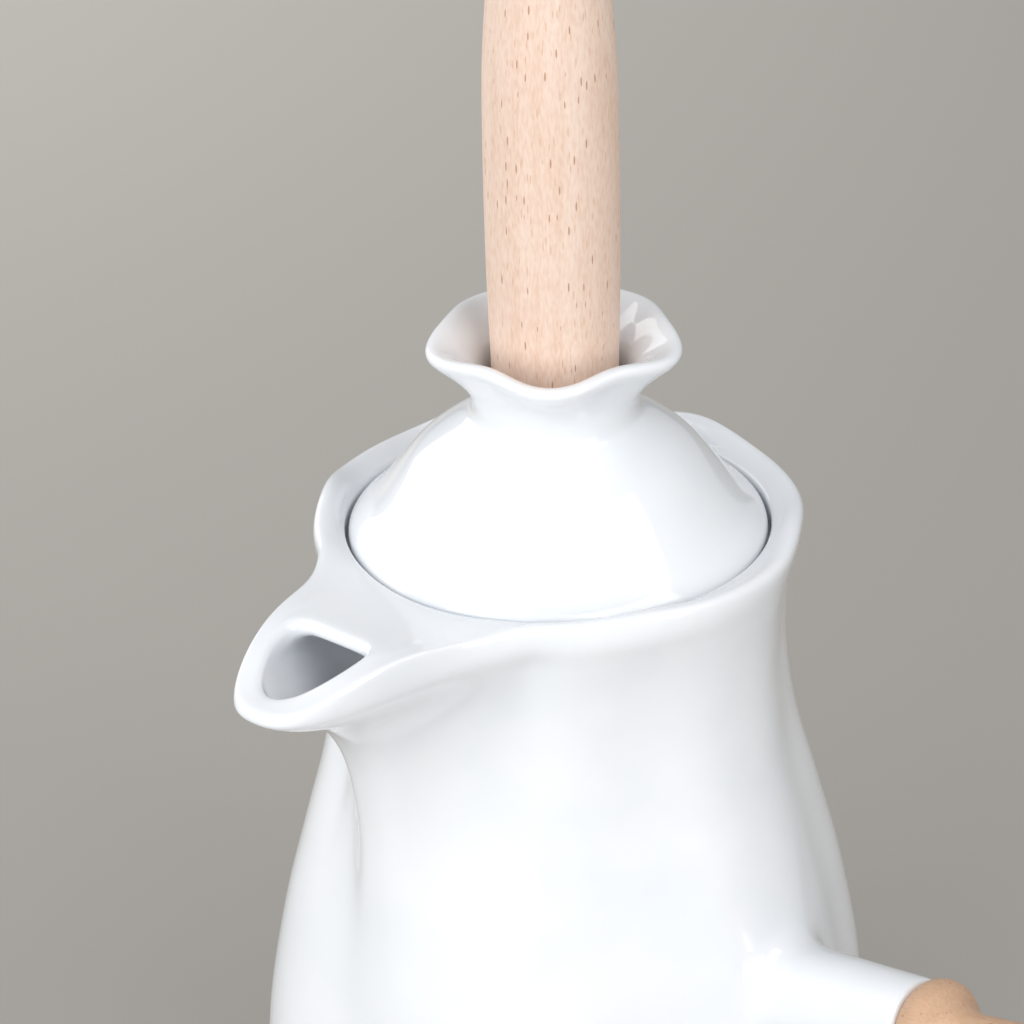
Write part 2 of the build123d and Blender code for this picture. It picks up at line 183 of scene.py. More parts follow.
@dataclass(frozen=True)
class GlazedPorcelain:
    """White glazed porcelain with a softly wavy gloss, and bare biscuit below one height."""

    name: str
    glaze: Colour = (0.838, 0.862, 0.896, 1.0)
    pooled_glaze: Colour = (0.800, 0.834, 0.874, 1.0)
    biscuit: Colour = (0.76, 0.73, 0.68, 1.0)
    biscuit_height: float = -1.0
    biscuit_blur: float = 0.0003
    gloss: float = 0.055
    gloss_spread: float = 0.05
    biscuit_roughness: float = 0.62
    wave_scale: float = 42.0
    wave_depth: float = 0.00006
    pool_edges: Pair = (0.35, 0.75)
    smear_scale: float = 126.0
    skin_scale: float = 900.0
    skin_depth: float = 0.000003
    biscuit_grit: float = 12.0
    refraction: float = 1.52
    coat_weight: float = 0.35
    coat_roughness: float = 0.03
    coat_refraction: float = 1.5

    def make(self) -> bpy.types.Material:
        """Writes the material."""
        sheet = FinishSheet(self.name)
        place = sheet.place()
        height = sheet.node("ShaderNodeSeparateXYZ", inputs={0: place}, output="Z")
        edge = self.biscuit_height
        bare = height.step(edge + self.biscuit_blur, edge - self.biscuit_blur)
        cloud = sheet.noise(place, self.wave_scale, detail=3.0)
        glaze = sheet.mix(cloud.step(*self.pool_edges), self.glaze, self.pooled_glaze)
        grit = sheet.noise(place, self.skin_scale, detail=4.0, roughness=0.7)
        smear = sheet.noise(place, self.smear_scale, detail=3.0)
        roughness = self.gloss + smear * self.gloss_spread
        skin = cloud * self.wave_depth + grit * self.skin_depth
        rough_skin = skin + bare * grit * (self.skin_depth * self.biscuit_grit)
        sheet.dress(
            Base_Color=sheet.mix(bare, glaze, self.biscuit),
            Roughness=roughness + bare * (self.biscuit_roughness - self.gloss),
            Normal=sheet.bump(rough_skin, 1.0),
            IOR=self.refraction,
            Coat_Roughness=self.coat_roughness,
            Coat_IOR=self.coat_refraction,
            Coat_Weight=self.coat_weight,
        )
        return sheet.material


@dataclass(frozen=True)
class TurnedBeech:
    """Turned beech: fine dashes, short dark flecks along the grain and faint growth rings.

    A cell is its size across the grain and along it, in metres. Edges are where a mark starts to
    show and where it is full.
    """

    name: str
    centre: Triple = (0.0, 0.0, 0.0)
    tilt: float = 0.0
    pale: Colour = (0.83, 0.670, 0.572, 1.0)
    deep: Colour = (0.68, 0.465, 0.345, 1.0)
    fleck: Colour = (0.42, 0.19, 0.10, 1.0)
    pore: Colour = (0.62, 0.35, 0.21, 1.0)
    fleck_cell: Pair = (0.0014, 0.0078)
    fleck_edges: Pair = (0.15, 0.10)
    fleck_strength: float = 0.75
    pore_cell: Pair = (0.0008, 0.0060)
    pore_edges: Pair = (0.22, 0.12)
    pore_strength: float = 0.55
    dash_cell: Pair = (0.0005, 0.0022)
    dash_edges: Pair = (0.3, 0.75)
    dash_share: float = 0.65
    dash_strength: float = 0.75
    patch_cell: Pair = (0.010, 0.06)
    patch_edges: Pair = (0.3, 0.7)
    ring_spacing: float = 0.0055
    ring_edges: Pair = (-0.2, 1.0)
    ring_strength: float = 0.12
    warp_cell: Pair = (0.03, 0.2)
    warp_reach: float = 0.02
    fibre_scale: float = 500.0
    hollows: tuple[float, float, float] = (0.6, 0.4, 0.12)
    hollow_depth: float = 0.00004
    roughness: float = 0.46
    dash_roughness: float = 0.08
    fleck_roughness: float = 0.2
    refraction: float = 1.45

    def make(self) -> bpy.types.Material:
        """Writes the material."""
        sheet = FinishSheet(self.name)
        centred = sheet.node(
            "ShaderNodeVectorMath", {"operation": "SUBTRACT"}, {0: sheet.place(), 1: self.centre}
        )
        along = sheet.node(
            "ShaderNodeVectorRotate",
            {"rotation_type": "EULER_XYZ"},
            {0: centred, "Rotation": (0.0, self.tilt, 0.0)},
        )
        dashes = self._dashes(sheet, along)
        rings = self._rings(sheet, along)
        flecks = self._cells(sheet, along, self.fleck_cell, self.fleck_edges)
        pores = self._cells(sheet, along, self.pore_cell, self.pore_edges)
        shade = dashes * self.dash_strength + rings * self.ring_strength
        body = sheet.mix(shade, self.pale, self.deep)
        pored = sheet.mix(pores * self.pore_strength, body, self.pore)
        fibre = sheet.noise(along, self.fibre_scale, detail=3.0)
        of_fleck, of_pore, of_fibre = self.hollows
        hollow = flecks * of_fleck + pores * of_pore + fibre * of_fibre
        rough = self.roughness + dashes * self.dash_roughness + flecks * self.fleck_roughness
        sheet.dress(
            Base_Color=sheet.mix(flecks * self.fleck_strength, pored, self.fleck),
            Roughness=rough,
            Normal=sheet.bump(1.0 - hollow, self.hollow_depth),
            IOR=self.refraction,
        )
        return sheet.material

    def _stretched(self, sheet: FinishSheet, along: Signal, cell: Pair) -> Signal:
        """The place counted in cells."""
        wide, tall = cell
        sizes = (1.0 / wide, 1.0 / wide, 1.0 / tall)
        return sheet.node("ShaderNodeVectorMath", {"operation": "MULTIPLY"}, {0: along, 1: sizes})

    def _cells(self, sheet: FinishSheet, along: Signal, cell: Pair, edges: Pair) -> Signal:
        """Short marks along the grain, one or none in each cell."""
        sockets = {"Vector": self._stretched(sheet, along, cell), "Scale": 1.0}
        distance = sheet.node("ShaderNodeTexVoronoi", {"feature": "F1"}, sockets, "Distance")
        return distance.step(*edges)

    def _dashes(self, sheet: FinishSheet, along: Signal) -> Signal:
        """Short pale and dark dashes along the grain, in soft broad patches."""
        fine = sheet.noise(self._stretched(sheet, along, self.dash_cell), 1.0, detail=4.0)
        broad = sheet.noise(self._stretched(sheet, along, self.patch_cell), 1.0, detail=2.0)
        dashes = fine.step(*self.dash_edges) * self.dash_share
        return dashes + broad.step(*self.patch_edges) * (1.0 - self.dash_share)

    def _rings(self, sheet: FinishSheet, along: Signal) -> Signal:
        """Growth rings that cut the turned surface in long arches."""
        warp = sheet.noise(self._stretched(sheet, along, self.warp_cell), 1.0, detail=1.0)
        across = sheet.node("ShaderNodeSeparateXYZ", inputs={0: along}, output="X")
        phase = (across + warp * self.warp_reach) * (2.0 * math.pi / self.ring_spacing)
        wave = sheet.node("ShaderNodeMath", {"operation": "SINE"}, {0: phase})
        return wave.step(*self.ring_edges)


@dataclass(frozen=True)
class CuredCement:
    """Matte resin cement with a little sand in it."""

    name: str
    paste: Colour = (0.62, 0.58, 0.50, 1.0)
    sand: Colour = (0.42, 0.38, 0.32, 1.0)
    sand_scale: float = 1400.0
    sand_edges: Pair = (0.45, 0.7)
    sand_depth: float = 0.00008
    roughness: float = 0.75
    sand_roughness: float = 0.15

    def make(self) -> bpy.types.Material:
        """Writes the material."""
        sheet = FinishSheet(self.name)
        place = sheet.place()
        grit = sheet.noise(place, self.sand_scale, detail=3.0, roughness=0.7)
        sheet.dress(
            Base_Color=sheet.mix(grit.step(*self.sand_edges), self.paste, self.sand),
            Roughness=self.roughness + grit * self.sand_roughness,
            Normal=sheet.bump(grit, self.sand_depth),
        )
        return sheet.material


# ---------------------------------------------------------------- mesh helpers


def polar(radius: float, angle: float, height: float) -> Vector:
    """The point at a radius, an angle in radians and a height."""
    return Vector((radius * math.cos(angle), radius * math.sin(angle), height))


def ease(value: float, low: float, high: float) -> float:
    """Rises softly from 0 at low to 1 at high, or falls where low is above high."""
    share = min(max((value - low) / (high - low), 0.0), 1.0)
    return share * share * (3.0 - 2.0 * share)


def read_off(stations: Sequence[Pair], place: float) -> float:
    """Reads a value between stations of place and value, which rise in place."""
    for (low, first), (high, second) in zip(stations, stations[1:]):
        if place <= high:
            share = max((place - low) / (high - low), 0.0)
            return first + (second - first) * share
    return stations[-1][1]


def lathe(outline: Sequence[Pair], steps: int, closed: bool = False) -> bmesh.types.BMesh:
    """Spins an outline of radius and height round the upright axis.

    Args:
        outline: Radius and height of each ring, in millimetres.
        steps: How many columns the full turn has.
        closed: Whether the outline's end joins its start.

    Returns:
        A mesh whose vertices hold the number of their ring in the layer "ring".
    """
    bm = bmesh.new()
    ring = bm.verts.layers.int.new("ring")
    spine = []
    for number, (radius, height) in enumerate(outline):
        vert = bm.verts.new((radius, 0.0, height))
        vert[ring] = number
        spine.append(vert)
    ends = zip(spine, spine[1:] + spine[:1]) if closed else zip(spine, spine[1:])
    edges = [bm.edges.new(pair) for pair in ends]
    bmesh.ops.spin(
        bm,
        geom=spine + edges,
        cent=(0.0, 0.0, 0.0),
        axis=(0.0, 0.0, 1.0),
        angle=2.0 * math.pi,
        steps=steps,
        use_merge=True,
    )
    bmesh.ops.remove_doubles(bm, verts=bm.verts, dist=WELD_MM)
    bmesh.ops.recalc_face_normals(bm, faces=bm.faces)
    return bm


def finish_piece(bm: bmesh.types.BMesh, name: str, levels: int) -> bpy.types.Object:
    """Makes a smooth object in metres of a cage in millimetres, with its place in its mesh.

    Args:
        bm: The finished cage, which is freed.
        name: The piece's name.
        levels: Subdivision levels, or 0 for none.

    Returns:
        The object at the origin.
    """
    bmesh.ops.scale(bm, vec=(MM, MM, MM), verts=bm.verts)
    mesh = bpy.data.meshes.new(name)
    for face in bm.faces:
        face.smooth = True
    bm.to_mesh(mesh)
    bm.free()
    piece = bpy.data.objects.new(name, mesh)
    bpy.context.scene.collection.objects.link(piece)
    if levels:
        surface = piece.modifiers.new("Surface", "SUBSURF")
        surface.levels = levels
        surface.render_levels = levels
    return piece


def open_loop(bm: bmesh.types.BMesh, near: Callable[[Vector], bool]) -> list[bmesh.types.BMEdge]:
    """The open edges whose middles pass a test."""
    edges = [edge for edge in bm.edges if edge.is_boundary]
    return [edge for edge in edges if near((edge.verts[0].co + edge.verts[1].co) / 2)]


def loop_verts(edges: Iterable[bmesh.types.BMEdge]) -> set[bmesh.types.BMVert]:
    """The vertices of a loop."""
    return {vert for edge in edges for vert in edge.verts}


def draw_out(
    bm: bmesh.types.BMesh,
    edges: list[bmesh.types.BMEdge],
    places: Iterable[Callable[[bmesh.types.BMVert], Vector]],
) -> list[bmesh.types.BMEdge]:
    """Extrudes a loop once for each place.

    Args:
        bm: The mesh.
        edges: The loop's edges.
        places: Functions from a new vertex, still on the last loop, to where it goes.

    Returns:
        The edges of the last loop.
    """
    for place in places:
        made = bmesh.ops.extrude_edge_only(bm, edges=edges)["geom"]
        fresh = {item for item in made if isinstance(item, bmesh.types.BMVert)}
        edges = [
            item
            for item in made
            if isinstance(item, bmesh.types.BMEdge) and fresh.issuperset(item.verts)
        ]
        for vert in fresh:
            vert.co = place(vert)
    return edges


# ---------------------------------------------------------------- pot


class Opening(Enum):
    """Holes cut in the pot's wall: half their angle and the way they face, in degrees."""

    MOUTH = (7.9, -90.0)
    ENTRY = (7.8, -90.0)
    SOCKET = (15.5, 0.0)

    @property
    def half_angle(self) -> float:
        """Half the hole's angle, in radians."""
        return math.radians(self.value[0])

    @property
    def facing(self) -> float:
        """The way the hole faces, in radians."""
        return math.radians(self.value[1])


@dataclass(frozen=True)
class Ring:
    """One ring of the pot's cage, in millimetres.

    radius and height are those on a lobe's crest; sink and rise are how far a groove draws it in
    and up. nose is where the spout brings it in its middle plane: on the deck, less deck_drop,
    where nose_height isn't given.
    """

    radius: float
    height: float
    sink: float = 0.0
    rise: float = 0.0
    nose: float | None = None
    nose_height: float | None = None
    deck_drop: float = 0.0
    opening: Opening | None = None


@dataclass(frozen=True)
class BoreLevel:
    """One level of the spout's bore, in millimetres.

    rear and front are the reach and height of its ends in the spout's middle plane. widest is how
    far from the rear to the front it is widest. A level on the deck has drops below the deck in
    place of heights.
    """

    rear: Pair
    front: Pair
    half_width: float
    widest: float
    on_deck: bool = False


@dataclass
class HandleSocket:
    """The porcelain stub that holds the side handle, along its own tilted axis, in millimetres."""

    reach: float = 61.0
    height: float = 80.0
    tilt: float = math.radians(9.9)
    wall_circles: Stations = ((18.0, 0.0), (15.2, 0.35), (12.9, 1.8), (11.8, 4.6))
    tube: Stations = (
        (11.3, 11.0), (10.95, 19.0), (10.6, 28.5), (10.55, 30.4), (10.1, 31.0), (8.5, 31.0),
        (8.05, 30.6), (8.05, 20.0), (8.05, 7.4), (7.6, 7.0), (3.0, 7.0),
    )

    def ring_place(self, co: Vector, radius: float, out: float) -> Vector:
        """Moves a point onto a circle round the axis.

        Args:
            co: The point, which keeps its angle round the axis.
            radius: The circle's radius.
            out: How far out along the axis it lies.

        Returns:
            The new place.
        """
        axis = Vector((math.cos(self.tilt), 0.0, math.sin(self.tilt)))
        upward = Vector((-math.sin(self.tilt), 0.0, math.cos(self.tilt)))
        root = Vector((self.reach, 0.0, self.height))
        arm = co - root
        turn = math.atan2(arm.dot(upward), arm.y)
        aside = Vector((0.0, 1.0, 0.0))
        return root + axis * out + (aside * math.cos(turn) + upward * math.sin(turn)) * radius


@dataclass
class LobedPot:
    """The pot: lobed wall, wavy rim, lid seat, covered spout and handle socket.

    Lengths are millimetres. Sectors are angles from the spout's middle plane, at the heights that
    they go with. A fade is where an effect starts and where it is full.
    """

    lobes: int = 6
    columns: int = 96
    levels: int = 2
    lid_edge: float = 170.0
    groove_power: float = 3.0
    rim_groove_power: float = 1.5
    spout_half_angle: float = 14.0
    spout_power: float = 2.8
    spout_sector: float = 35.0
    sectors: Stations = ((80.0, 22.0), (131.0, 26.0), (154.0, 31.0), (167.0, 35.0))
    valley_depth: float = 1.6
    valley_spread: float = 4.5
    valley_foot_fade: Pair = (100.0, 128.0)
    valley_top_fade: Pair = (171.0, 162.0)
    column_squeeze: float = 0.52
    squeezed_sector: float = math.radians(52.0)
    mouth_rear: float = 65.0
    mouth_front: float = 83.2
    mouth_half_width: float = 9.3
    mouth_widest: float = 0.25
    mouth_lean: float = -0.9
    front_roundness: float = 1.5
    mouth_roundness: Pair = (1.75, 4.2)
    deck_line: Stations = (
        (44.0, 0.3), (50.0, 0.6), (56.0, 1.1), (62.0, 1.9), (66.0, 1.9), (70.0, 1.4), (74.0, 0.5),
        (78.0, -0.9), (82.0, -2.5), (86.0, -3.5), (91.0, -4.0),
    )
    deck_sag: Stations = (
        (50.0, 0.0014), (60.0, 0.0028), (70.0, 0.0044), (80.0, 0.0058), (86.0, 0.0040), (90.0, 0.0),
    )
    deck_fade: Pair = (math.radians(33.0), math.radians(20.0))
    lively_side: float = math.radians(150.0)
    lively_fade: Pair = (-0.8, 0.5)
    least_wave: float = 0.15
    rim_notch: float = 1.6
    tucked_side: float = math.radians(-70.0)
    tuck_fade: Pair = (0.1, 0.9)
    rim_tuck: Pair = (1.0, 0.5)
    full_rise: float = 3.0
    mouth_loop_reach: float = 55.0
    entry_loop_reach: float = 50.0
    socket_loop_reach: float = 40.0
    axis_radius: float = 1.0
    socket: HandleSocket = field(default_factory=HandleSocket)

    def groove(self, angle: float) -> float:
        """How deep in a groove an angle lies: 0 on a lobe's crest, 1 in the groove."""
        return abs(math.sin(angle * self.lobes / 2)) ** self.groove_power

    def liveliness(self, angle: float) -> float:
        """How much of the rim's wave an angle has: all at the back, least before the handle."""
        fade = ease(math.cos(angle - self.lively_side), *self.lively_fade)
        return self.least_wave + (1.0 - self.least_wave) * fade

    def share(self, angle: float, height: float) -> float:
        """How much of the nose's reach is left at an angle from its middle and a height."""
        sector = read_off(self.sectors, height)
        half = self.spout_half_angle * sector / self.spout_sector
        edge = 1.0 / (1.0 + (sector / half) ** self.spout_power)
        share = 1.0 / (1.0 + (abs(math.degrees(angle)) / half) ** self.spout_power)
        return max((share - edge) / (1.0 - edge), 0.0)

    def valley(self, angle: float, height: float) -> float:
        """How deep the valley beside the spout's flank is at an angle and a height."""
        aside = (abs(math.degrees(angle)) - read_off(self.sectors, height)) / self.valley_spread
        fade = ease(height, *self.valley_foot_fade) * ease(height, *self.valley_top_fade)
        return self.valley_depth * fade * math.exp(-aside * aside)

    def deck_height(self, reach: float, side: float) -> float:
        """Height of the spout's deck, a shallow channel between ridges that falls to the tip."""
        sag = read_off(self.deck_sag, reach) * side**2
        return self.lid_edge + read_off(self.deck_line, reach) + sag

    def rings(self) -> list[Ring]:
        """The rings, from the foot's middle up the outside, over the rim and down the inside."""
        return [*self.foot_rings(), *self.wall_rings(), *self.lip_rings(), *self.inside_rings()]

    def foot_rings(self) -> list[Ring]:
        """The recess under the foot and the foot ring."""
        outline = [
            (0.0, 3.0), (18.0, 3.0), (35.5, 3.0), (37.6, 2.2), (38.8, 0.5), (39.8, 0.0),
            (43.4, 0.0), (44.8, 0.5), (45.2, 2.4), (46.1, 4.4),
        ]
        return [Ring(*numbers) for numbers in outline]

    def wall_rings(self) -> list[Ring]:
        """The outer wall: radius, height and sink, then where the spout's nose brings it."""
        plain = [
            (51.2, 9.5, 0.6), (57.3, 17.5, 1.6), (61.8, 27.0, 2.6), (64.1, 37.0, 3.2),
            (64.5, 46.0, 3.4),
        ]
        beside_socket = [
            (64.3, 57.0, 3.4, 60.6), (62.9, 68.0, 3.3, 60.4), (60.7, 79.5, 3.2, 59.6),
            (58.5, 90.0, 3.05, 58.7), (55.6, 100.0, 2.85, 57.9),
        ]
        under_spout = [
            (53.2, 109.0, 2.65, 57.7, 109.0), (50.8, 117.0, 2.5, 57.8, 117.0),
            (48.9, 125.0, 2.3, 58.4, 125.0), (47.7, 133.0, 2.05, 59.8, 133.0),
            (46.9, 140.5, 1.85, 61.6, 140.8), (46.8, 147.0, 1.75, 65.0, 147.6),
            (47.0, 152.5, 1.65, 69.6, 153.2), (47.5, 157.0, 1.6, 75.4, 157.2),
            (48.1, 160.6, 1.45, 82.0, 159.8), (48.6, 163.6, 1.2, 87.0, 161.6),
            (49.4, 167.0, 0.8, 89.8, 163.5),
        ]
        rings = [Ring(*numbers) for numbers in plain]
        rings += [
            Ring(radius, height, sink, nose=nose, nose_height=height, opening=Opening.SOCKET)
            for radius, height, sink, nose in beside_socket
        ]
        rings += [
            Ring(radius, height, sink, nose=nose, nose_height=nose_height)
            for radius, height, sink, nose, nose_height in under_spout
        ]
        return rings

    def lip_rings(self) -> list[Ring]:
        """The rim's lip and the spout's deck: radius, height, sink, rise, nose and deck_drop."""
        outer = [
            (49.95, 169.7, 0.6, 3.0, 90.2, 1.7), (49.6, 171.0, 0.6, 3.0, 89.7, 0.35),
            (48.5, 171.65, 0.6, 3.0, 88.6, 0.0), (47.3, 171.45, 0.6, 2.8, 87.4, 0.0),
        ]
        across_mouth = [
            (46.2, 171.1, 0.5, 2.2, 86.2), (45.4, 170.8, 0.4, 1.6, 80.0),
            (44.8, 170.6, 0.3, 1.1, 74.0), (44.4, 170.45, 0.2, 0.7, 68.0),
            (44.0, 170.35, 0.1, 0.4, 62.9),
        ]
        behind_mouth = [(43.7, 170.25, 0.05, 0.2, 57.0), (43.4, 170.15, 0.0, 0.1, 50.5)]
        rings = [Ring(*numbers, deck_drop=drop) for *numbers, drop in outer]
        rings += [Ring(*numbers, opening=Opening.MOUTH) for numbers in across_mouth]
        rings += [Ring(*numbers) for numbers in behind_mouth]
        return rings

    def inside_rings(self) -> list[Ring]:
        """The lid's seat, the inner wall and the floor."""
        seat = [
            (42.9, 169.8), (42.75, 169.0), (42.75, 166.5), (42.5, 166.2), (40.6, 166.2),
            (40.2, 165.8), (40.2, 160.0), (40.2, 152.6),
        ]
        across_entry = [
            (40.4, 149.0, 0.6), (40.9, 143.0, 1.4), (41.3, 137.0, 1.9), (41.9, 131.0, 2.0),
            (43.0, 125.0, 2.3),
        ]
        below = [
            (46.2, 116.0, 2.5), (51.6, 100.0, 2.9), (56.2, 79.0, 3.2), (59.4, 58.0, 3.4),
            (59.4, 36.0, 3.2), (53.0, 19.0, 1.8), (45.0, 11.5, 0.5), (38.0, 9.2, 0.0),
            (20.0, 9.0, 0.0), (0.0, 9.0, 0.0),
        ]
        rings = [Ring(*numbers) for numbers in seat]
        rings += [Ring(*numbers, opening=Opening.ENTRY) for numbers in across_entry]
        rings += [Ring(*numbers) for numbers in below]
        return rings

    def bore(self) -> list[BoreLevel]:
        """The bore's levels, from its rounded edge on the deck down to the entry from the pot."""
        edge = [(1.9, 0.0), (1.05, 0.25), (0.25, 1.0), (0.0, 2.1)]
        levels = [
            BoreLevel(
                (self.mouth_rear - grow, drop),
                (self.mouth_front + grow * self.front_roundness, drop),
                self.mouth_half_width + grow,
                self.mouth_widest,
                on_deck=True,
            )
            for grow, drop in edge
        ]
        channel = [
            ((64.2, -1.4), (81.0, -5.5), 9.3, 0.30), ((59.5, -3.0), (75.0, -8.7), 10.6, 0.36),
            ((53.0, -5.2), (68.0, -13.0), 11.4, 0.42), ((47.0, -8.6), (61.0, -20.0), 11.2, 0.48),
            ((43.6, -17.0), (54.5, -31.0), 9.0, 0.50),
        ]
        for (rear, roof), (front, floor), half_width, widest in channel:
            ends = (rear, self.lid_edge + roof), (front, self.lid_edge + floor)
            levels.append(BoreLevel(*ends, half_width, widest))
        return levels

    def column_angle(self, angle: float) -> float:
        """Draws the columns together at the spout: the new angle from its middle plane."""
        release = ease(abs(angle), 0.0, self.squeezed_sector)
        return angle * (self.column_squeeze + (1.0 - self.column_squeeze) * release)

    def ring_point(self, ring: Ring, angle: float) -> Vector:
        """Where a ring stands at an angle from the spout's middle plane."""
        turn = Opening.MOUTH.facing + angle
        depth = self.groove(turn) ** (self.rim_groove_power if ring.rise else 1.0)
        lively = self.liveliness(turn) if ring.rise else 0.0
        radius = ring.radius - ring.sink * depth * (1.0 + self.rim_notch * lively)
        height = ring.height + ring.rise * depth * lively
        if ring.nose is None:
            return polar(radius, turn, height)
        share = self.share(angle, ring.height)
        radius -= self.valley(angle, ring.height)
        if ring.rise:
            tuck = ease(math.cos(turn - self.tucked_side), *self.tuck_fade)
            tuck *= (1.0 - share) * min(ring.rise / self.full_rise, 1.0)
            radius -= self.rim_tuck[0] * tuck
            height += self.rim_tuck[1] * tuck
        radius += (ring.nose - ring.radius + ring.sink) * share
        if ring.nose_height is not None:
            return polar(radius, turn, height + (ring.nose_height - ring.height) * share)
        deck = self.deck_height(radius * math.cos(angle), radius * math.sin(angle)) - ring.deck_drop
        blend = ease(abs(angle), *self.deck_fade)
        return polar(radius, turn, height + (deck - height) * blend)

    def patch(
        self, bm: bmesh.types.BMesh, rings: Sequence[Ring], opening: Opening
    ) -> list[bmesh.types.BMFace]:
        """The faces that an opening takes out of the cage."""
        number = bm.verts.layers.int["ring"]
        across = [index for index, ring in enumerate(rings) if ring.opening is opening]
        found = []
        for face in bm.faces:
            numbers = [vert[number] for vert in face.verts]
            middle = face.calc_center_median()
            aside = math.remainder(math.atan2(middle.y, middle.x) - opening.facing, 2.0 * math.pi)
            inside = across[0] <= min(numbers) and max(numbers) <= across[-1]
            if inside and abs(aside) < opening.half_angle:
                found.append(face)
        return found

    def open_spout(self, bm: bmesh.types.BMesh, rings: Sequence[Ring]) -> None:
        """Cuts the mouth in the deck and leads its bore down through the wall into the pot."""
        along = bm.verts.layers.float.new("along")
        aside = bm.verts.layers.float.new("aside")
        patches = self.patch(bm, rings, Opening.MOUTH) + self.patch(bm, rings, Opening.ENTRY)
        bmesh.ops.delete(bm, geom=patches, context="FACES")
        loop = open_loop(bm, lambda co: co.y < -self.mouth_loop_reach)
        centre = self.mouth_rear + (self.mouth_front - self.mouth_rear) * self.mouth_widest
        for vert in loop_verts(loop):
            turn = math.atan2(vert.co.x, -vert.co.y - centre)
            power = self.mouth_roundness[0 if math.cos(turn) > 0.0 else 1]
            size = (abs(math.cos(turn)) ** power + abs(math.sin(turn)) ** power) ** (-1.0 / power)
            vert[along] = size * math.cos(turn)
            vert[aside] = size * math.sin(turn)
        places = [
            lambda vert, level=level: self.bore_point(level, vert[along], vert[aside])
            for level in self.bore()
        ]
        for vert in loop_verts(loop):
            vert.co = places[0](vert)
        entry = open_loop(bm, lambda co: -self.entry_loop_reach < co.y < 0.0)
        loop = draw_out(bm, loop, places[1:])
        bmesh.ops.bridge_loops(bm, edges=loop + entry)

    def bore_point(self, level: BoreLevel, along: float, aside: float) -> Vector:
        """A point of the bore, at shares from -1 to 1 along the spout and across it."""
        span = level.widest if along < 0.0 else 1.0 - level.widest
        share = level.widest + span * along
        reach = level.rear[0] + (level.front[0] - level.rear[0]) * share
        height = level.rear[1] + (level.front[1] - level.rear[1]) * share
        side = aside * level.half_width
        if level.on_deck:
            height = self.deck_height(reach, side) - height
        return Vector((side + self.mouth_lean, -reach, height))

    def wall_place(self, co: Vector, radius: float, lift: float) -> Vector:
        """Moves a point onto the wall round the socket, or lifted from it."""
        flat = self.socket.ring_place(co, radius, 0.0)
        angle = math.atan2(flat.y, flat.x)
        rings = self.wall_rings()
        crest = read_off([(ring.height, ring.radius) for ring in rings], flat.z)
        sink = read_off([(ring.height, ring.sink) for ring in rings], flat.z)
        return polar(crest - sink * self.groove(angle) + lift, angle, flat.z)

    def raise_socket(self, bm: bmesh.types.BMesh, rings: Sequence[Ring]) -> None:
        """Opens the wall at the handle and draws out the socket with its blind bore."""
        bmesh.ops.delete(bm, geom=self.patch(bm, rings, Opening.SOCKET), context="FACES")
        loop = open_loop(bm, lambda co: co.x > self.socket_loop_reach)
        places = [
            lambda vert, radius=radius, lift=lift: self.wall_place(vert.co, radius, lift)
            for radius, lift in self.socket.wall_circles
        ]
        places += [
            lambda vert, radius=radius, out=out: self.socket.ring_place(vert.co, radius, out)
            for radius, out in self.socket.tube
        ]
        for vert in loop_verts(loop):
            vert.co = places[0](vert)
        loop = draw_out(bm, loop, places[1:])
        bmesh.ops.contextual_create(bm, geom=loop)

    def build(self) -> bpy.types.Object:
        """Builds the pot's subdivision surface."""
        rings = self.rings()
        bm = lathe([(ring.radius, ring.height) for ring in rings], self.columns)
        number = bm.verts.layers.int["ring"]
        for vert in bm.verts:
            if vert.co.to_2d().length > self.axis_radius:
                turn = math.atan2(vert.co.y, vert.co.x)
                angle = math.remainder(turn - Opening.MOUTH.facing, 2.0 * math.pi)
                vert.co = self.ring_point(rings[vert[number]], self.column_angle(angle))
        self.open_spout(bm, rings)
        self.raise_socket(bm, rings)
        bmesh.ops.recalc_face_normals(bm, faces=bm.faces)
        return finish_piece(bm, "pot_porcelain", self.levels)


# ---------------------------------------------------------------- lid and stick


